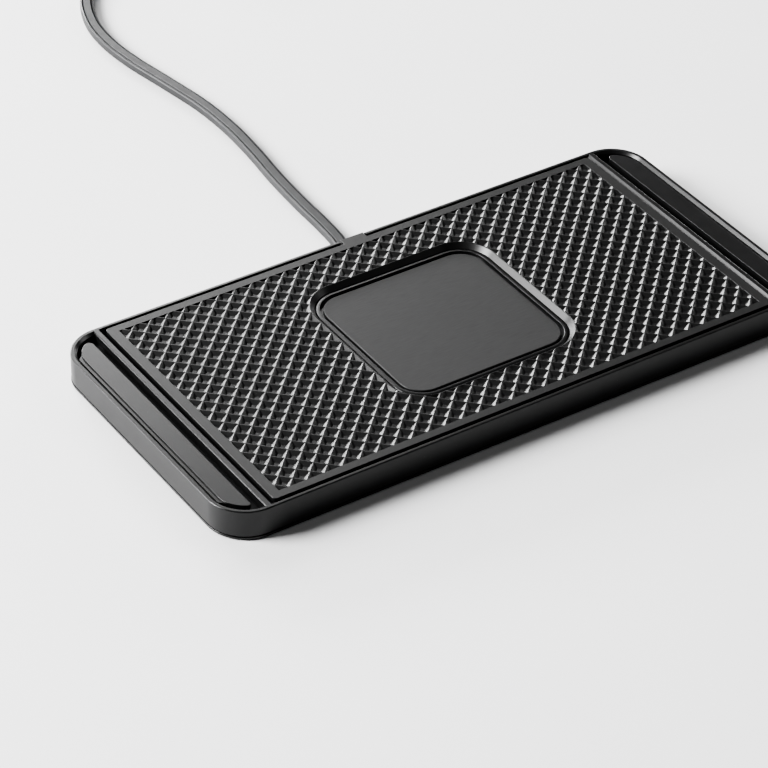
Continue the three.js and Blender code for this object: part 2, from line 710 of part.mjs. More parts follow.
const plug = new THREE.Group();
plug.position.set(...PLUG_START, 0);
plug.add(
  named("plug_overmould", geometryOf(plugOvermould()), cableGrey),
  named("plug_shell", geometryOf(plugShell()), steel),
  named("plug_tongue", plugTongue(), chipBlack),
);
plugContacts().forEach((contact, i) => {
  plug.add(named("plug_contact_" + (i + 1), contact, contactGold));
});
pad.add(plug);

export default pad;
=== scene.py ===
"""The looks of a wireless charging pad, built round its CAD frame. Lengths are in mm."""
import math

import bmesh
import bpy
from mathutils import Matrix, Vector
from mathutils.geometry import interpolate_bezier


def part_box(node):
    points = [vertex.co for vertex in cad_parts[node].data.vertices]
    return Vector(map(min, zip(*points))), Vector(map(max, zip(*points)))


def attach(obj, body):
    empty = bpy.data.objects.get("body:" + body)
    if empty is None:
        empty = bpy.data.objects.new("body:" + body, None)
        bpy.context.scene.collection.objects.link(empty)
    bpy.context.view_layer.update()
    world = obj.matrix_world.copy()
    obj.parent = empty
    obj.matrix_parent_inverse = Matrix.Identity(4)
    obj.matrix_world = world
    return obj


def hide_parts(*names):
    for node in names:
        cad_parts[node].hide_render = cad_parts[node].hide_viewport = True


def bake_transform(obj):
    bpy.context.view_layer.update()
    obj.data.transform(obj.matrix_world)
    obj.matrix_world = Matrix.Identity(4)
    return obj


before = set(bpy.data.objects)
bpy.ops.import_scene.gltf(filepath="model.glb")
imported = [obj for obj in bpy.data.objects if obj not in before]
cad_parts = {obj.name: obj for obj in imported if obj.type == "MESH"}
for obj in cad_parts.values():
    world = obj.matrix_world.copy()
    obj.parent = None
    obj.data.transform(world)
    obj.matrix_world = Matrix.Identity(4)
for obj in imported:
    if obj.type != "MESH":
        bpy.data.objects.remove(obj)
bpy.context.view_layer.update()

MM = 0.001


def node_box(name):
    """Lowest and highest corner of a CAD node, in mm."""
    low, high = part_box(name)
    return low / MM, high / MM


def plan(low, high):
    """Middle and half sizes in X and Y of a box."""
    middle = ((low.x + high.x) / 2, (low.y + high.y) / 2)
    return middle, (high.x - low.x) / 2, (high.y - low.y) / 2


# ---- Sizes read from the frame ----

_, shell_high = node_box("housing_shell")
base_low, _ = node_box("base_cover")
mat_low, mat_high = node_box("grip_mat")
_, plate_high = node_box("charging_plate")
bar_low, bar_high = node_box("end_bar_right")
_, sheet_high = node_box("anti_slip_sheet")
grommet_low, grommet_high = node_box("cable_grommet")
overmould_low, overmould_high = node_box("plug_overmould")
plug_shell_low, plug_shell_high = node_box("plug_shell")

HALF_LENGTH, HALF_WIDTH, RIM_TOP = shell_high
MAT_HALF_X, MAT_HALF_Y, MAT_TOP = mat_high.x, -mat_low.y, mat_high.z
MAT_BOTTOM = mat_low.z
BASE_BOTTOM = base_low.z

# ---- Sizes of the fine shapes ----

SEAM = 0.2
CORNER_STEPS = 16
ROUND_STEPS = 4
DISC_STEPS = 40
CUT_PAST = 1.0
EDGE_BREAK = 0.05

# Edges sharper than these angles, in degrees, are shaded sharp.
SHARP_ANGLE = 34
MAT_SHARP_ANGLE = 24
CABLE_SHARP_ANGLE = 50

# Housing: EDGE_ROUND is its top edge, FINE_ROUND every small edge.
CORNER_R = 12.0
EDGE_ROUND = 0.35
FINE_ROUND = 0.15
RIM_WIDTH = 1.25
RIM_CHAMFER = 0.8
WALL = 1.6
SHELL_INSET = 0.1
DECK_TOP = 7.5
DECK_UNDERSIDE = 6.2
COIL_WINDOW_HALF = 24.6
RIB_INNER_X = 86.35
RIB_OUTER_X = 88.05
RIB_ROUND = 0.5
RIB_SLOPE = 1.3
RIB_EDGE_DROP = 0.08
END_FLOOR = 6.7
END_UNDERSIDE = 5.6
UPPER_ROOM_BOTTOM = 1.0
OUTLET_HALF_WIDTH = 4.4

# Base cover, with a tongue that stands inside the housing's wall.
BASE_EDGE_TOP = 1.1
TONGUE_WIDTH = 1.0
TONGUE_HEIGHT = 1.0

# End bars, each with a lower tier along its outer side.
BAR_ARC_R = 8.6
BAR_FRONT_TIP_R = 0.8
BAR_BACK_TIP_R = 1.5
BAR_EDGE_ROUND = 0.15
BAR_TIP_STEPS = 8
TIER_TOP = 9.0
TIER_WIDTH = 1.0
TIER_OVERLAP = 1.0
TIER_HALF_LENGTH = 37.5
TIER_END_RUN = 2.0
BAR_OUTER_X = bar_high.x - TIER_WIDTH

# Charging plate, and the lip round it with a crown that falls outwards.
PLATE_CORNER_R = 7.4
PLATE_EDGE_ROUND = 0.3
LIP_GAP = 0.95
LIP_WIDTH = 1.35
LIP_TOP = 8.55
LIP_BOTTOM = 6.7
LIP_ROUND_RUN = 0.9
LIP_ROUND_DROP = 0.35

# Mat, with a bevelled window round the lip.
MAT_CORNER_R = 1.2
TAB_HALF_WIDTH = 4.0
TAB_BOTTOM = 8.0
TAB_OVERLAP = 1.0
WINDOW_CLEARANCE = 0.2
WINDOW_FOOT = 8.35
WINDOW_RUN = 1.4
WINDOW_EDGE = 0.1
WINDOW_EDGE_BREAK = 0.02
WINDOW_FOOT_OFFSET = LIP_GAP + LIP_WIDTH + WINDOW_CLEARANCE
WINDOW_TOP_OFFSET = WINDOW_FOOT_OFFSET + WINDOW_RUN

# Pockets between two sets of diagonal ridges. Pitch and places are measured along Y.
POCKET_PITCH = 5.59
POCKET_RIDGE = 0.3
POCKET_DEPTH = 0.85
POCKET_RUN = 1.2
POCKET_EDGE = 0.1
RIDGE_ROUND_INSET = 0.02
RIDGE_ROUND_DROP = 0.03
FALLING_RIDGE = 1.41
RISING_RIDGE = -9.17
FIELD_HALF_X = 81.7
FIELD_HALF_Y = 42.65
WINDOW_RIDGE = 0.15

# Screws, their bosses and the sheet the pad stands on. A head's edge is given by insets and rises.
SCREWS = range(1, 9)
SCREW_HEAD_R = 2.1
SCREW_HEAD_EDGE = [(0.4, 0.0), (0.1, 0.1), (0.0, 0.35)]
SCREW_SHANK_R = 0.9
SCREW_TIP_R = 0.1
SCREW_TIP_LENGTH = 0.6
SCREW_SEAT = 1.6
SCREW_SEAT_GAP = 0.05
SCREW_RECESS_R = 1.0
SCREW_RECESS_DEPTH = 0.5
BOSS_R = 3.4
BOSS_TOP = 6.4
BORE_TOP = 5.5
BASE_BOSS_TOP = 2.4
SHEET_CORNER_R = 8.0
SHEET_FOOT_ROUND = 0.1
SHEET_TOP_ROUND = 0.05

# Cable: flat faces, a crease, then a lower round shoulder on each side.
CABLE_WIDTH = 4.5
CABLE_HEIGHT = 3.1
CABLE_ROUND = 0.6
CABLE_MIDDLE_Z = 1.6
CREASE_X = 1.38
CREASE_DEPTH = 0.65
CREASE_RUN = 0.3
SHOULDER_DROP = 0.2
SHOULDER_STEPS = 5
PATH_STEPS = 12
CABLE_PATH = [
    (0.2, 46.2), (0.2, 49.0), (0.6, 52), (1.9, 58), (2.7, 68), (3.1, 80), (4.2, 96),
    (6.0, 112), (7.0, 128), (6.4, 144), (3.7, 162), (1.0, 178), (0.0, 192), (1.4, 205),
    (6.2, 218), (14, 229), (26, 236.5), (42, 238.5), (54, 236.8), (64, 236),
]
# The grommet's mouth: distance before its outer face, and room round the cable there.
MOUTH = [(0.8, 0.1), (0.2, 0.3), (-0.1, 0.7)]

PLUG_CORNER_R = 2.0
PLUG_ROUND = 1.2
PLUG_ENTRY_ROOM = 0.3
PLUG_ENTRY_DEPTH = 3.0
PLUG_ENTRY_TOP = CABLE_HEIGHT + 0.4
PLUG_SOCKET_ROOM = 0.1
PLUG_SOCKET_DEPTH = 2.5
NOSE_HALF_LENGTH = 3.0
NOSE_ROUND = 0.6
NOSE_INSET = 0.05

NODE_BEVEL = 0.06

# ---- Camera, table and lamps ----

CAMERA_PLACE = Vector((-449.44, -631.32, 566.78))
CAMERA_TARGET = Vector((-24.55, -7.38, 0.0))
CAMERA_ROLL = 1.310
CAMERA_LENS = 156.25
TABLE_HALF = 2500.0
SKY_STRENGTH = 0.01

# Lamp sizes and distance are in metres; each lamp has an azimuth from +Y towards +X, an
# elevation, a height and a power in watts.
LAMP_DISTANCE = 2.5
LAMP_WIDTH = 0.95
TALL, LOW = 0.75, 0.35
LAMPS = {
    "key": (-65, 28, TALL, 84),
    "high_left": (-60, 40, TALL, 70),
    "left_edge": (-50, 5, LOW, 30),
    "back_left": (-15, 12, LOW, 18),
    "back_edge": (5, 12, LOW, 44),
    "back_right": (20, 28, TALL, 18),
    "high_back": (0, 40, TALL, 12),
    "right_edge": (60, 12, LOW, 14),
    "right_fill": (110, 35, TALL, 9),
}


# ---- Mesh helpers ----

def add_solid(name, vertices, faces):
    """An object from vertices in mm and faces, with every face turned outwards."""
    mesh = bpy.data.meshes.new(name)
    mesh.from_pydata([Vector(vertex) * MM for vertex in vertices], [], faces)
    work = bmesh.new()
    work.from_mesh(mesh)
    bmesh.ops.recalc_face_normals(work, faces=work.faces)
    work.to_mesh(mesh)
    work.free()
    piece = bpy.data.objects.new(name, mesh)
    bpy.context.scene.collection.objects.link(piece)
    return piece


def loft_faces(count, levels, start=0):
    """Faces of a closed skin over stacked rings whose points are numbered from start."""
    last = start + (levels - 1) * count
    faces = [list(range(start, start + count)), list(range(last, last + count))]
    for k in range(levels - 1):
        for i in range(count):
            low = start + k * count
            j = (i + 1) % count
            faces.append([low + i, low + j, low + count + j, low + count + i])
    return faces


def loft(name, rings):
    """A closed solid through rings of equal point counts."""
    vertices = [point for ring in rings for point in ring]
    return add_solid(name, vertices, loft_faces(len(rings[0]), len(rings)))


def prism(name, outline, levels):
    """Stacked outlines: each level is an outward offset and a height, from the bottom up."""
    return loft(name, [[(x, y, z) for x, y in outline(offset)] for offset, z in levels])


def arc(centre, radius, start, end, steps=CORNER_STEPS):
    """Points on an arc between two angles in degrees."""
    points = []
    for step in range(steps + 1):
        angle = math.radians(start + (end - start) * step / steps)
        points.append((centre[0] + radius * math.cos(angle), centre[1] + radius * math.sin(angle)))
    return points


def rounded_rectangle(half_x, half_y, radius, centre=(0.0, 0.0)):
    """The points of a rectangle with round corners, anticlockwise."""
    x, y = half_x - radius, half_y - radius
    points = []
    for quarter, (side_x, side_y) in enumerate(((1, 1), (-1, 1), (-1, -1), (1, -1))):
        corner = (centre[0] + side_x * x, centre[1] + side_y * y)
        points += arc(corner, radius, 90 * quarter, 90 * quarter + 90)
    return points


def rounded_top(top, run, drop=None, base=0.0):
    """Levels of an edge that rounds inwards up to the top; a negative run flares outwards instead."""
    drop = drop or abs(run)
    levels = []
    for step in range(ROUND_STEPS + 1):
        angle = math.pi / 2 * step / ROUND_STEPS
        levels.append((base - run * (1 - math.cos(angle)), top - drop * (1 - math.sin(angle))))
    return levels


def rounded_slab(bottom, top, bottom_round, top_round):
    """Levels of a slab with round bottom and top edges."""
    under = [(offset, bottom + (top - z)) for offset, z in rounded_top(top, bottom_round)]
    return under[::-1] + rounded_top(top, top_round)


def recess(bottom, top, edge_round):
    """Levels of a cutter that leaves a round edge at the top of its hole."""
    return [(0.0, bottom)] + rounded_top(top, -edge_round) + [(edge_round, top + CUT_PAST)]


def box_outline(half_x, half_y, centre=(0.0, 0.0)):
    """An outline function for a rectangle with square corners."""
    def outline(offset):
        x, y = half_x + offset, half_y + offset
        return [(centre[0] + i * x, centre[1] + j * y) for i, j in ((1, 1), (-1, 1), (-1, -1), (1, -1))]
    return outline


def disc_outline(radius, x, y):
    """An outline function for a circle."""
    return lambda offset: arc((x, y), radius + offset, 0, 360, DISC_STEPS)[:-1]


def bake(piece):
    """Applies a piece's modifiers to its mesh."""
    graph = bpy.context.evaluated_depsgraph_get()
    mesh = bpy.data.meshes.new_from_object(piece.evaluated_get(graph))
    piece.modifiers.clear()
    piece.data = mesh
    return piece


def combine(piece, tool, operation):
    """Joins a tool to a piece or cuts it away, then deletes the tool."""
    modifier = piece.modifiers.new("combine", "BOOLEAN")
    modifier.operation = operation
    modifier.solver = "MANIFOLD"
    modifier.object = tool
    bake(piece)
    bpy.data.objects.remove(tool)
    return piece


def cut(piece, tool):
    return combine(piece, tool, "DIFFERENCE")


def join(piece, tool):
    return combine(piece, tool, "UNION")


def finish_piece(piece, body, nodes, look, sharp=SHARP_ANGLE):
    """Shades a piece, gives it its material, hides the CAD nodes it stands for and ties it to its body, if
    it has one.
    """
    piece.data.materials.clear()
    piece.data.materials.append(look)
    piece.data.shade_smooth()
    piece.data.set_sharp_from_angle(angle=math.radians(sharp))
    normals = piece.modifiers.new("normals", "WEIGHTED_NORMAL")
    normals.keep_sharp = True
    if body:
        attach(piece, body)
    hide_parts(*nodes)
    return piece


# ---- Outlines of the pad ----

def body_outline(offset):
    return rounded_rectangle(HALF_LENGTH + offset, HALF_WIDTH + offset, CORNER_R + offset)


def inside_body(inset):
    """An outline function for the body's outline moved inwards."""
    return lambda offset: body_outline(offset - inset)


def plate_outline(offset):
    return rounded_rectangle(plate_high.x + offset, plate_high.y + offset, PLATE_CORNER_R + offset)


def mat_outline(offset):
    return rounded_rectangle(MAT_HALF_X + offset, MAT_HALF_Y + offset, MAT_CORNER_R + offset)


def end_pocket_outline(side):
    """The D-shaped hollow between the rim and the outer rib at one end."""
    def outline(offset):
        radius = CORNER_R - RIM_WIDTH + offset
        x = HALF_LENGTH - CORNER_R
        y = HALF_WIDTH - CORNER_R
        points = [(RIB_OUTER_X, -y - radius)] + arc((x, -y), radius, -90, 0)
        points += arc((x, y), radius, 0, 90) + [(RIB_OUTER_X, y + radius)]
        return [(side * a, side * b) for a, b in points]
    return outline


def bar_tip(inner_x, radius, offset):
    """The points of a bar's outer arc and rounded tip, from the middle of the bar to its inner side."""
    x, y = BAR_OUTER_X - BAR_ARC_R, HALF_WIDTH - CORNER_R
    turn = math.degrees(math.acos((inner_x + radius - x) / (BAR_ARC_R - radius)))
    tip = (inner_x + radius, y + (BAR_ARC_R - radius) * math.sin(math.radians(turn)))
    return arc((x, y), BAR_ARC_R + offset, 0, turn) + arc(tip, radius + offset, turn, 180, BAR_TIP_STEPS)[1:]


def bar_outline(side):
    """A D-shaped bar whose outer arcs share their centres with the body's corners."""
    def outline(offset):
        back = bar_tip(bar_low.x, BAR_BACK_TIP_R, offset)
        front = [(x, -y) for x, y in bar_tip(bar_low.x, BAR_FRONT_TIP_R, offset)]
        return [(side * x, y) for x, y in front[::-1] + back]
    return outline


# ---- Housing ----

def screw_places():
    """Centres of the eight base screws, in mm."""
    return [plan(*node_box(f"base_screw_{number}"))[0] for number in SCREWS]


def along_y(name, side, section, half):
    """A bar of constant section along Y; the section's points are distances from the middle and heights."""
    return loft(name, [[(side * x, y, z) for x, z in section] for y in (-half, half)])


def rib_cutters(side):
    """Cutters that slope a rib's inner side and round its outer top edge."""
    above = RIM_TOP + CUT_PAST
    foot_x, foot_z = RIB_INNER_X - RIB_SLOPE, RIM_TOP - RIB_SLOPE
    edge_low, edge_high = RIB_INNER_X - EDGE_BREAK, RIB_INNER_X + EDGE_BREAK
    slope = [(foot_x - CUT_PAST, foot_z), (foot_x, foot_z), (edge_low, RIM_TOP - RIB_EDGE_DROP)]
    slope += [(edge_high, RIM_TOP), (edge_high, above), (foot_x - CUT_PAST, above)]
    corner = (RIB_OUTER_X - RIB_ROUND, RIM_TOP - RIB_ROUND)
    rounding = arc(corner, RIB_ROUND, 90, 0, ROUND_STEPS)
    rounding += [(RIB_OUTER_X + SEAM, corner[1]), (RIB_OUTER_X + SEAM, above), (corner[0], above)]
    half = HALF_WIDTH - RIM_WIDTH
    return [along_y("slope", side, slope, half), along_y("rounding", side, rounding, half)]


def lip():
    """The ring round the charging plate; its top falls away outwards."""
    outer = LIP_GAP + LIP_WIDTH
    crown = rounded_top(LIP_TOP, LIP_ROUND_RUN, LIP_ROUND_DROP, base=outer)
    ring = prism("lip", plate_outline, [(outer, LIP_BOTTOM)] + crown)
    hole = [(LIP_GAP, DECK_TOP)] + rounded_top(LIP_TOP, -FINE_ROUND, base=LIP_GAP)
    hole.append((LIP_GAP + FINE_ROUND, RIM_TOP))
    return cut(ring, prism("hole", plate_outline, hole))


def carve_ends(shell):
    """Cuts the hollows for the end bars, with a chamfer down from the rim, and shapes the ribs."""
    chamfer = [(-RIM_CHAMFER, END_FLOOR), (-RIM_CHAMFER, RIM_TOP - RIM_CHAMFER)]
    chamfer += [(-EDGE_BREAK, RIM_TOP - EDGE_BREAK), (EDGE_BREAK, RIM_TOP)]
    chamfer.append((EDGE_BREAK, RIM_TOP + CUT_PAST))
    for side in (-1, 1):
        cut(shell, prism("pocket", end_pocket_outline(side), chamfer))
        for cutter in rib_cutters(side):
            cut(shell, cutter)


def hollow_housing(shell):
    """Cuts the room for the parts inside."""
    room = prism("room", inside_body(WALL), [(0, 0), (0, END_UNDERSIDE)])
    upper = box_outline(RIB_INNER_X - 2 * RIB_SLOPE, HALF_WIDTH - WALL)
    cut(shell, join(room, prism("upper_room", upper, [(0, UPPER_ROOM_BOTTOM), (0, DECK_UNDERSIDE)])))


def housing(look):
    """The moulded shell with its rim, deck, ribs, lip, screw bosses and openings."""
    levels = rounded_slab(BASE_EDGE_TOP + SEAM, RIM_TOP, FINE_ROUND, EDGE_ROUND)
    shell = prism("shell", inside_body(SHELL_INSET), levels)
    seat = box_outline(RIB_INNER_X - RIB_SLOPE, HALF_WIDTH - RIM_WIDTH)
    cut(shell, prism("seat", seat, recess(DECK_TOP, RIM_TOP, FINE_ROUND)))
    carve_ends(shell)
    hollow_housing(shell)
    join(shell, lip())
    for x, y in screw_places():
        boss_levels = [(0, BASE_BOSS_TOP + SEAM), (0, BOSS_TOP)]
        join(shell, prism("boss", disc_outline(BOSS_R, x, y), boss_levels))
        cut(shell, prism("bore", disc_outline(SCREW_SHANK_R, x, y), [(0, 0), (0, BORE_TOP)]))
    window = box_outline(COIL_WINDOW_HALF, COIL_WINDOW_HALF)
    cut(shell, prism("coil_window", window, [(0, 0), (0, DECK_TOP + CUT_PAST / 2)]))
    outlet = box_outline(OUTLET_HALF_WIDTH, WALL + CUT_PAST, (0, HALF_WIDTH))
    cut(shell, prism("outlet", outlet, [(0, 0), (0, RIM_TOP + CUT_PAST)]))
    return finish_piece(shell, "pad", ["housing_shell"], look)


def base(look):
    """The cover under the housing, with its tongue, screw bosses and screw wells."""
    cover = prism("base", body_outline, rounded_slab(BASE_BOTTOM, BASE_EDGE_TOP, SEAM, FINE_ROUND))
    inset = WALL + SEAM
    tongue_levels = [(0, BASE_EDGE_TOP - SEAM), (0, BASE_EDGE_TOP + TONGUE_HEIGHT)]
    tongue = prism("tongue", inside_body(inset), tongue_levels)
    cut(tongue, prism("tongue_room", inside_body(inset + TONGUE_WIDTH), [(0, BASE_EDGE_TOP), (0, RIM_TOP)]))
    join(cover, tongue)
    for x, y in screw_places():
        join(cover, prism("boss", disc_outline(BOSS_R, x, y), [(0, BASE_BOTTOM + SEAM), (0, BASE_BOSS_TOP)]))
        well = [(FINE_ROUND, 0), (FINE_ROUND, BASE_BOTTOM), (0, BASE_BOTTOM + FINE_ROUND), (0, SCREW_SEAT)]
        cut(cover, prism("well", disc_outline(SCREW_HEAD_R + SEAM, x, y), well))
        cut(cover, prism("bore", disc_outline(SCREW_SHANK_R + SEAM, x, y), [(0, 0), (0, RIM_TOP)]))
    slot = box_outline(OUTLET_HALF_WIDTH, WALL + 2 * CUT_PAST, (0, HALF_WIDTH - WALL))
    cut(cover, prism("outlet", slot, [(0, BASE_EDGE_TOP), (0, RIM_TOP)]))
    return finish_piece(cover, "pad", ["base_cover"], look)


def bar_tier(side):
    """The lower step along a bar's outer side; its ends slant back into the bar."""
    tip = TIER_HALF_LENGTH + TIER_END_RUN

    def outline(offset):
        inner = side * (BAR_OUTER_X - TIER_OVERLAP)
        outer = side * (BAR_OUTER_X + TIER_WIDTH + offset)
        return [(inner, -tip), (outer, -TIER_HALF_LENGTH), (outer, TIER_HALF_LENGTH), (inner, tip)]
    return prism("tier", outline, [(0, END_FLOOR)] + rounded_top(TIER_TOP, FINE_ROUND))


def end_bar(side, name, look):
    """The two-level bar at one end; side is -1 for the left and 1 for the right."""
    levels = rounded_slab(END_FLOOR, bar_high.z, FINE_ROUND, BAR_EDGE_ROUND)
    bar = join(prism(name + "_look", bar_outline(side), levels), bar_tier(side))
    return finish_piece(bar, "pad", [name], look)


# ---- Mat and plate ----

def pocket_levels():
    """Insets and heights of a pocket's walls, from its floor up past the mat's top."""
    slope = POCKET_DEPTH / POCKET_RUN
    return [
        (POCKET_RUN, MAT_TOP - POCKET_DEPTH),
        (POCKET_EDGE, MAT_TOP - slope * POCKET_EDGE),
        (RIDGE_ROUND_INSET, MAT_TOP - RIDGE_ROUND_DROP),
        (-EDGE_BREAK, MAT_TOP),
        (-EDGE_BREAK, MAT_TOP + CUT_PAST / 2),
    ]


def pocket_grid():
    """One diamond-shaped cutter for every pocket whose middle is near the field."""
    levels = pocket_levels()
    half_diagonal = POCKET_PITCH / 2 - POCKET_RIDGE / math.sqrt(2)
    reach = math.ceil((FIELD_HALF_X + FIELD_HALF_Y) / POCKET_PITCH) + 2
    vertices, faces = [], []
    for i in range(-reach, reach):
        for j in range(-reach, reach):
            rising = RISING_RIDGE + (i + 0.5) * POCKET_PITCH
            falling = FALLING_RIDGE + (j + 0.5) * POCKET_PITCH
            x, y = (falling - rising) / 2, (falling + rising) / 2
            if abs(x) > FIELD_HALF_X + half_diagonal or abs(y) > FIELD_HALF_Y + half_diagonal:
                continue
            faces += loft_faces(4, len(levels), len(vertices))
            for inset, z in levels:
                arm = half_diagonal - inset * math.sqrt(2)
                vertices += [(x + arm, y, z), (x, y + arm, z), (x - arm, y, z), (x, y - arm, z)]
    return add_solid("pocket_tool", vertices, faces)


def pocket_tool():
    """All the pockets, cut back from the field's border and from the ring round the window."""
    border = [(0, MAT_TOP - 2 * POCKET_DEPTH), (0, MAT_TOP - EDGE_BREAK)]
    border += [(EDGE_BREAK, MAT_TOP), (EDGE_BREAK, MAT_TOP + CUT_PAST)]
    inside = prism("field", box_outline(FIELD_HALF_X, FIELD_HALF_Y), border)
    ring = WINDOW_TOP_OFFSET + WINDOW_RIDGE
    ring_levels = [(ring + inset, z) for inset, z in [(POCKET_RUN, DECK_TOP)] + pocket_levels()]
    outside = prism("ring", plate_outline, ring_levels)
    pockets = combine(pocket_grid(), inside, "INTERSECT")
    return cut(pockets, outside)


def mat_tab():
    """The small tab that reaches over the cable's outlet."""
    half = (mat_high.y - MAT_HALF_Y + TAB_OVERLAP) / 2
    tab = box_outline(TAB_HALF_WIDTH, half, (0, mat_high.y - half))
    return prism("tab", tab, [(0, TAB_BOTTOM)] + rounded_top(MAT_TOP, FINE_ROUND))


def mat_window():
    """A cutter whose sides lean outwards, for the window round the lip."""
    foot, top = WINDOW_FOOT_OFFSET, WINDOW_TOP_OFFSET
    return prism("window", plate_outline, [
        (foot, MAT_BOTTOM - CUT_PAST),
        (foot, WINDOW_FOOT),
        (top - WINDOW_EDGE, MAT_TOP - WINDOW_EDGE),
        (top + WINDOW_EDGE_BREAK, MAT_TOP - WINDOW_EDGE_BREAK),
        (top + WINDOW_EDGE, MAT_TOP),
        (top + WINDOW_EDGE, MAT_TOP + CUT_PAST),
    ])


def grip_mat(look):
    """The silicone mat: a plain border round a field of pockets, a window and a tab."""
    mat = prism("mat", mat_outline, rounded_slab(MAT_BOTTOM, MAT_TOP, FINE_ROUND, FINE_ROUND))
    join(mat, mat_tab())
    cut(mat, mat_window())
    cut(mat, pocket_tool())
    return finish_piece(mat, "pad", ["grip_mat"], look, sharp=MAT_SHARP_ANGLE)


def charging_plate(look):
    """The smooth plate over the coil."""
    levels = [(0.0, DECK_TOP)] + rounded_top(plate_high.z, PLATE_EDGE_ROUND)
    plate = prism("plate", plate_outline, levels)
    return finish_piece(plate, "pad", ["charging_plate"], look)


# ---- Cable ----

def spline(places, steps):
    """A smooth path through places, with its slope at each one set by the neighbours."""
    points = [Vector((x, y, CABLE_MIDDLE_Z)) for x, y in places]
    slopes = []
    for i, point in enumerate(points):
        before, after = points[max(i - 1, 0)], points[min(i + 1, len(points) - 1)]
        slopes.append((after - before) / ((point - before).length + (after - point).length))
    path = []
    for i in range(len(points) - 1):
        reach = (points[i + 1] - points[i]).length / 3
        handles = points[i] + slopes[i] * reach, points[i + 1] - slopes[i + 1] * reach
        path += interpolate_bezier(points[i], *handles, points[i + 1], steps + 1)[:-1]
    return path + [points[-1]]


def cable_section():
    """The flat cable's outline, with a crease between its flat faces and its round shoulders."""
    x, z = CABLE_WIDTH / 2, CABLE_HEIGHT / 2
    shoulder = arc((x - CABLE_ROUND, z - SHOULDER_DROP - CABLE_ROUND), CABLE_ROUND, 0, 90, SHOULDER_STEPS)
    quarter = shoulder + [(CREASE_X, z - CREASE_DEPTH), (CREASE_X - CREASE_RUN, z)]
    mirrored = [(-a, b) for a, b in reversed(quarter)]
    upper = quarter + mirrored
    return upper + [(-a, -b) for a, b in upper]


def sweep(name, path, section):
    """A solid that carries an upright section along a level path."""
    rings = []
    for i, point in enumerate(path):
        ahead = (path[min(i + 1, len(path) - 1)] - path[max(i - 1, 0)]).normalized()
        across = Vector((ahead.y, -ahead.x, 0))
        rings.append([point + across * a + Vector((0, 0, b)) for a, b in section])
    return loft(name, rings)


def charging_cable(look):
    """The cable, swept along its path out of the grommet."""
    cable = sweep("cable", spline(CABLE_PATH, PATH_STEPS), cable_section())
    finish_piece(cable, None, ["charging_cable"], look, sharp=CABLE_SHARP_ANGLE)
    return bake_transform(cable)


def cable_grommet(look):
    """The strain-relief block in the outlet, with a mouth that opens out round the cable."""
    low, high = grommet_low, grommet_high
    middle, half_x, half_y = plan(low, high)
    levels = rounded_slab(low.z, high.z, FINE_ROUND, FINE_ROUND)
    block = prism("grommet", box_outline(half_x, half_y, middle), levels)
    cable_x = CABLE_PATH[0][0]
    rings = []
    for y, room in [(low.y - CUT_PAST, MOUTH[0][1])] + [(high.y - depth, room) for depth, room in MOUTH]:
        outline = rounded_rectangle(CABLE_WIDTH / 2 + room, CABLE_HEIGHT / 2 + room, CABLE_ROUND + room)
        rings.append([(x + cable_x, y, z + CABLE_MIDDLE_Z) for x, z in outline])
    cut(block, loft("mouth", rings))
    return finish_piece(block, "pad", ["cable_grommet"], look)


# ---- Plug ----

def plug_overmould(look):
    """The plug's grip: square at its nose, with openings for the cable and for the metal shell."""
    low, high = overmould_low, overmould_high
    middle, half_x, half_y = plan(low, high)

    def outline(offset):
        return rounded_rectangle(half_x + offset, half_y + offset, PLUG_CORNER_R + offset, middle)

    body = prism("overmould", outline, rounded_slab(low.z, high.z, PLUG_ROUND, PLUG_ROUND))
    nose = box_outline(NOSE_HALF_LENGTH, half_y - NOSE_INSET, (high.x - NOSE_HALF_LENGTH, middle[1]))
    nose_levels = rounded_slab(low.z + NOSE_INSET, high.z - NOSE_INSET, NOSE_ROUND, NOSE_ROUND)
    join(body, prism("nose", nose, nose_levels))
    entry = box_outline(PLUG_ENTRY_DEPTH, CABLE_WIDTH / 2 + PLUG_ENTRY_ROOM, (low.x, middle[1]))
    cut(body, prism("entry", entry, [(0, low.z - CUT_PAST), (0, PLUG_ENTRY_TOP)]))
    socket_half_y = (plug_shell_high.y - plug_shell_low.y) / 2 + PLUG_SOCKET_ROOM
    socket = box_outline(PLUG_SOCKET_DEPTH, socket_half_y, (high.x, middle[1]))
    socket_levels = [(0, plug_shell_low.z - PLUG_SOCKET_ROOM), (0, plug_shell_high.z + PLUG_SOCKET_ROOM)]
    cut(body, prism("socket", socket, socket_levels))
    return finish_piece(body, "cable", ["plug_overmould"], look)


# ---- Screws and sheet under the pad ----

def base_screw(number, look):
    """A pan-head screw seen from underneath, with a six-sided recess."""
    name = f"base_screw_{number}"
    low, high = node_box(name)
    (x, y), _, _ = plan(low, high)
    head_top = SCREW_SEAT - SCREW_SEAT_GAP
    shank = SCREW_SHANK_R - SCREW_HEAD_R
    levels = [(-inset, low.z + rise) for inset, rise in SCREW_HEAD_EDGE] + [(0, head_top)]
    levels += [(shank, head_top), (shank, high.z - SCREW_TIP_LENGTH), (SCREW_TIP_R - SCREW_HEAD_R, high.z)]
    screw = prism(name + "_look", disc_outline(SCREW_HEAD_R, x, y), levels)
    hexagon = arc((x, y), SCREW_RECESS_R, 0, 360, 6)[:-1]
    depths = (low.z - CUT_PAST, low.z + SCREW_RECESS_DEPTH)
    cut(screw, loft("recess", [[(a, b, z) for a, b in hexagon] for z in depths]))
    return finish_piece(screw, "pad", [name], look)


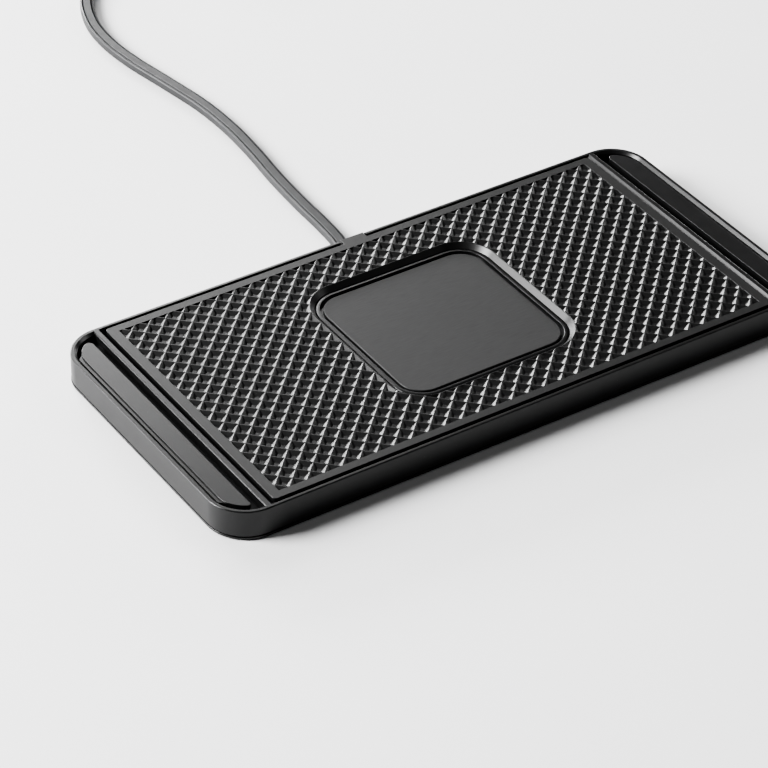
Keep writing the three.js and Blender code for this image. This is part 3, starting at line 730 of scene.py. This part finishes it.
def anti_slip_sheet(look):
    """The thin rubber sheet that the pad stands on."""
    def outline(offset):
        x, y = sheet_high.x + offset, sheet_high.y + offset
        return rounded_rectangle(x, y, SHEET_CORNER_R + offset)

    levels = rounded_slab(0, sheet_high.z, SHEET_FOOT_ROUND, SHEET_TOP_ROUND)
    sheet = prism("anti_slip", outline, levels)
    return finish_piece(sheet, "pad", ["anti_slip_sheet"], look)


# ---- Materials ----

class Surface:
    """A procedural material built up in layers. Feature sizes are in mm."""

    def __init__(self, name, colour, roughness, metallic=0.0, specular=0.5):
        self.material = bpy.data.materials.new(name)
        self.material.use_nodes = True
        self.tree = self.material.node_tree
        self.shader = self.tree.nodes["Principled BSDF"]
        self.shader.inputs["Metallic"].default_value = metallic
        self.shader.inputs["Specular IOR Level"].default_value = specular
        self.place = self.tree.nodes.new("ShaderNodeTexCoord").outputs["Object"]
        self.colour = self.tree.nodes.new("ShaderNodeRGB").outputs[0]
        self.colour.default_value = (*colour, 1)
        self.roughness = roughness
        self.bump = None

    def noise(self, size, stretch=(1, 1, 1), detail=3.0):
        """Noise whose features are about the given size; stretch lengthens them along an axis."""
        mapping = self.tree.nodes.new("ShaderNodeMapping")
        mapping.inputs["Scale"].default_value = [1 / (size * MM * s) for s in stretch]
        self.tree.links.new(self.place, mapping.inputs["Vector"])
        noise = self.tree.nodes.new("ShaderNodeTexNoise")
        noise.inputs["Scale"].default_value = 1.0
        noise.inputs["Detail"].default_value = detail
        self.tree.links.new(mapping.outputs[0], noise.inputs["Vector"])
        return noise.outputs["Fac"]

    def spread(self, source, low, high, start=0.3, end=0.7):
        """Maps a 0 to 1 source to the range from low to high."""
        node = self.tree.nodes.new("ShaderNodeMapRange")
        node.inputs["From Min"].default_value = start
        node.inputs["From Max"].default_value = end
        node.inputs["To Min"].default_value = low
        node.inputs["To Max"].default_value = high
        self.tree.links.new(source, node.inputs["Value"])
        return node.outputs[0]

    def mix(self, factor, colour):
        """Mixes another colour over the base where the factor is high."""
        node = self.tree.nodes.new("ShaderNodeMix")
        node.data_type = "RGBA"
        self.tree.links.new(factor, node.inputs["Factor"])
        self.tree.links.new(self.colour, node.inputs["A"])
        node.inputs["B"].default_value = (*colour, 1)
        self.colour = node.outputs["Result"]
        return self

    def mottle(self, size, colour, amount=1.0, stretch=(1, 1, 1)):
        """Soft patches of another colour."""
        return self.mix(self.spread(self.noise(size, stretch), 0, amount), colour)

    def specks(self, size, colour, share=0.03, amount=0.5):
        """Rare small spots, such as dust."""
        spots = self.spread(self.noise(size, detail=1.0), 0, amount, 0.78 - share, 0.8)
        return self.mix(spots, colour)

    def uneven(self, size, amount, stretch=(1, 1, 1)):
        """Roughness that varies by the given amount each way."""
        low, high = self.roughness - amount, self.roughness + amount
        value = self.spread(self.noise(size, stretch), low, high)
        self.tree.links.new(value, self.shader.inputs["Roughness"])
        return self

    def grain(self, size, depth, stretch=(1, 1, 1)):
        """A bump layer of the given feature size and depth."""
        node = self.tree.nodes.new("ShaderNodeBump")
        node.inputs["Strength"].default_value = 1.0
        node.inputs["Distance"].default_value = depth * MM
        self.tree.links.new(self.noise(size, stretch), node.inputs["Height"])
        if self.bump:
            self.tree.links.new(self.bump, node.inputs["Normal"])
        self.bump = node.outputs["Normal"]
        return self

    def done(self):
        """Wires the layers to the shader and returns the material."""
        self.tree.links.new(self.colour, self.shader.inputs["Base Color"])
        if self.bump:
            self.tree.links.new(self.bump, self.shader.inputs["Normal"])
        return self.material


def shell_plastic():
    surface = Surface("shell_plastic", (0.008, 0.008, 0.0082), 0.3)
    surface.mottle(6, (0.011, 0.011, 0.0112)).specks(0.35, (0.12, 0.12, 0.12))
    return surface.uneven(3, 0.01).grain(0.18, 0.0012).done()


def bar_plastic():
    surface = Surface("bar_plastic", (0.008, 0.008, 0.0082), 0.3)
    surface.mottle(5, (0.011, 0.011, 0.0112)).specks(0.35, (0.12, 0.12, 0.12))
    return surface.uneven(2.5, 0.01).grain(0.16, 0.0022).done()


def mat_silicone():
    surface = Surface("mat_silicone", (0.008, 0.008, 0.008), 0.38)
    surface.mottle(4, (0.011, 0.011, 0.011)).specks(0.3, (0.15, 0.15, 0.15))
    return surface.uneven(1.5, 0.015).grain(0.12, 0.0012).done()


def plate_plastic():
    surface = Surface("plate_plastic", (0.01, 0.01, 0.0103), 0.5)
    surface.mottle(5, (0.013, 0.013, 0.0133)).mottle(0.35, (0.022, 0.022, 0.022), 0.6, stretch=(14, 1, 1))
    return surface.uneven(0.4, 0.05, stretch=(10, 1, 1)).grain(0.3, 0.012, stretch=(12, 1, 1)).done()


def cable_jacket():
    surface = Surface("cable_jacket", (0.022, 0.0225, 0.0235), 0.45)
    surface.mottle(8, (0.028, 0.0285, 0.03)).specks(0.3, (0.15, 0.15, 0.15))
    return surface.uneven(3, 0.04).grain(0.2, 0.008).done()


def dull_rubber():
    surface = Surface("dull_rubber", (0.02, 0.02, 0.021), 0.8)
    surface.mottle(3, (0.028, 0.028, 0.029)).specks(0.4, (0.18, 0.17, 0.16), 0.06)
    return surface.uneven(1, 0.08).grain(0.25, 0.02).done()


def brushed_steel():
    surface = Surface("brushed_steel", (0.45, 0.45, 0.46), 0.3, 1.0)
    surface.mottle(1.2, (0.36, 0.36, 0.37))
    return surface.uneven(0.4, 0.08, (6, 1, 1)).grain(0.12, 0.003, (8, 1, 1)).done()


def rolled_aluminium():
    surface = Surface("rolled_aluminium", (0.6, 0.61, 0.63), 0.38, 1.0)
    surface.mottle(4, (0.5, 0.51, 0.53))
    return surface.uneven(0.6, 0.08, (1, 10, 1)).grain(0.2, 0.004, (1, 12, 1)).done()


def enamelled_copper():
    surface = Surface("enamelled_copper", (0.62, 0.24, 0.09), 0.32, 0.9)
    surface.mottle(1.5, (0.5, 0.17, 0.06))
    return surface.uneven(0.5, 0.08).grain(0.15, 0.004).done()


def gold_contact():
    surface = Surface("gold_contact", (0.75, 0.5, 0.16), 0.25, 1.0)
    surface.mottle(0.8, (0.66, 0.42, 0.13))
    return surface.uneven(0.3, 0.07, (5, 1, 1)).grain(0.1, 0.002, (6, 1, 1)).done()


def sintered_ferrite():
    surface = Surface("sintered_ferrite", (0.045, 0.045, 0.047), 0.7)
    surface.mottle(0.6, (0.07, 0.07, 0.072))
    return surface.uneven(0.5, 0.1).grain(0.15, 0.01).done()


def board_resin():
    surface = Surface("board_resin", (0.015, 0.09, 0.04), 0.42)
    surface.mottle(1.8, (0.03, 0.15, 0.07), 0.8, (3, 1, 1)).mottle(1.5, (0.02, 0.12, 0.05), 0.8, (1, 3, 1))
    return surface.uneven(0.8, 0.06).grain(0.4, 0.01).done()


def chip_epoxy():
    surface = Surface("chip_epoxy", (0.012, 0.012, 0.013), 0.55)
    surface.mottle(0.5, (0.02, 0.02, 0.021))
    return surface.uneven(0.3, 0.08).grain(0.08, 0.006).done()


def capacitor_ceramic():
    surface = Surface("capacitor_ceramic", (0.38, 0.2, 0.09), 0.5)
    surface.mottle(0.5, (0.3, 0.15, 0.07))
    return surface.uneven(0.4, 0.07).grain(0.1, 0.005).done()


def wire_insulation(name, colour, lighter):
    surface = Surface(name, colour, 0.42)
    surface.mottle(1.5, lighter)
    return surface.uneven(0.8, 0.06).grain(0.2, 0.005).done()


def white_table():
    surface = Surface("white_table", (0.8, 0.8, 0.8), 0.6, specular=0.3)
    surface.mottle(60, (0.79, 0.79, 0.795))
    return surface.uneven(30, 0.03).grain(0.6, 0.01).done()


def dress_nodes(looks):
    """Gives every CAD node that is still shown its material and a fine bevel on its edges."""
    for name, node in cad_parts.items():
        if node.hide_render:
            continue
        word = next(word for word in looks if word in name)
        node.data.materials.clear()
        node.data.materials.append(looks[word])
        bevel = node.modifiers.new("edges", "BEVEL")
        bevel.width = NODE_BEVEL * MM
        bevel.limit_method = "ANGLE"


# ---- Pieces ----

shell_look = shell_plastic()
bar_look = bar_plastic()
silicone = mat_silicone()
jacket = cable_jacket()
steel = brushed_steel()

housing(shell_look)
base(shell_look)
end_bar(-1, "end_bar_left", bar_look)
end_bar(1, "end_bar_right", bar_look)
grip_mat(silicone)
charging_plate(plate_plastic())
anti_slip_sheet(dull_rubber())
cable_grommet(shell_look)
charging_cable(jacket)
plug_overmould(jacket)
for number in SCREWS:
    base_screw(number, steel)

copper = enamelled_copper()
black_wire = wire_insulation("black_insulation", (0.015, 0.015, 0.016), (0.022, 0.022, 0.023))
red_wire = wire_insulation("red_insulation", (0.35, 0.015, 0.012), (0.45, 0.03, 0.02))
ferrite = sintered_ferrite()
epoxy = chip_epoxy()
dress_nodes({
    "coil": copper,
    "ferrite": ferrite,
    "shield": rolled_aluminium(),
    "positive": red_wire,
    "negative": black_wire,
    "sensor": black_wire,
    "board": board_resin(),
    "chip": epoxy,
    "inductor": ferrite,
    "capacitor": capacitor_ceramic(),
    "plug_shell": steel,
    "tongue": epoxy,
    "contact": gold_contact(),
})


# ---- Table, lights and camera ----

def table():
    """A plain pale table top at the pad's own level."""
    corners = [(-TABLE_HALF, -TABLE_HALF, 0), (TABLE_HALF, -TABLE_HALF, 0)]
    corners += [(TABLE_HALF, TABLE_HALF, 0), (-TABLE_HALF, TABLE_HALF, 0)]
    mesh = bpy.data.meshes.new("table")
    mesh.from_pydata([Vector(corner) * MM for corner in corners], [], [(0, 1, 2, 3)])
    top = bpy.data.objects.new("table", mesh)
    bpy.context.scene.collection.objects.link(top)
    top.data.materials.append(white_table())


def soft_box(name, azimuth, elevation, height, power):
    """A rectangular lamp facing the pad."""
    lamp = bpy.data.lights.new(name, "AREA")
    lamp.shape = "RECTANGLE"
    lamp.size, lamp.size_y = LAMP_WIDTH, height
    lamp.energy = power
    holder = bpy.data.objects.new(name, lamp)
    bpy.context.scene.collection.objects.link(holder)
    turn, rise = math.radians(azimuth), math.radians(elevation)
    away = Vector((math.sin(turn) * math.cos(rise), math.cos(turn) * math.cos(rise), math.sin(rise)))
    holder.location = away * LAMP_DISTANCE
    holder.rotation_euler = away.to_track_quat("Z", "Y").to_euler()


def sky():
    """A faint white surround."""
    world = bpy.data.worlds.new("studio")
    world.use_nodes = True
    backdrop = world.node_tree.nodes["Background"]
    backdrop.inputs["Color"].default_value = (1, 1, 1, 1)
    backdrop.inputs["Strength"].default_value = SKY_STRENGTH
    bpy.context.scene.world = world


def camera():
    """A long lens that looks down across the pad's front left corner."""
    lens = bpy.data.cameras.new("camera")
    lens.sensor_width = 36
    lens.lens = CAMERA_LENS
    lens.clip_start, lens.clip_end = 0.01, 20
    holder = bpy.data.objects.new("camera", lens)
    bpy.context.scene.collection.objects.link(holder)
    aim = (CAMERA_TARGET - CAMERA_PLACE).to_track_quat("-Z", "Y").to_matrix().to_4x4()
    roll = Matrix.Rotation(math.radians(CAMERA_ROLL), 4, "Z")
    holder.matrix_world = Matrix.Translation(CAMERA_PLACE * MM) @ aim @ roll
    bpy.context.scene.camera = holder


table()
for lamp_name, settings in LAMPS.items():
    soft_box(lamp_name, *settings)
sky()
camera()
bpy.context.scene.view_settings.view_transform = "AgX"
bpy.context.scene.view_settings.look = "AgX - High Contrast"
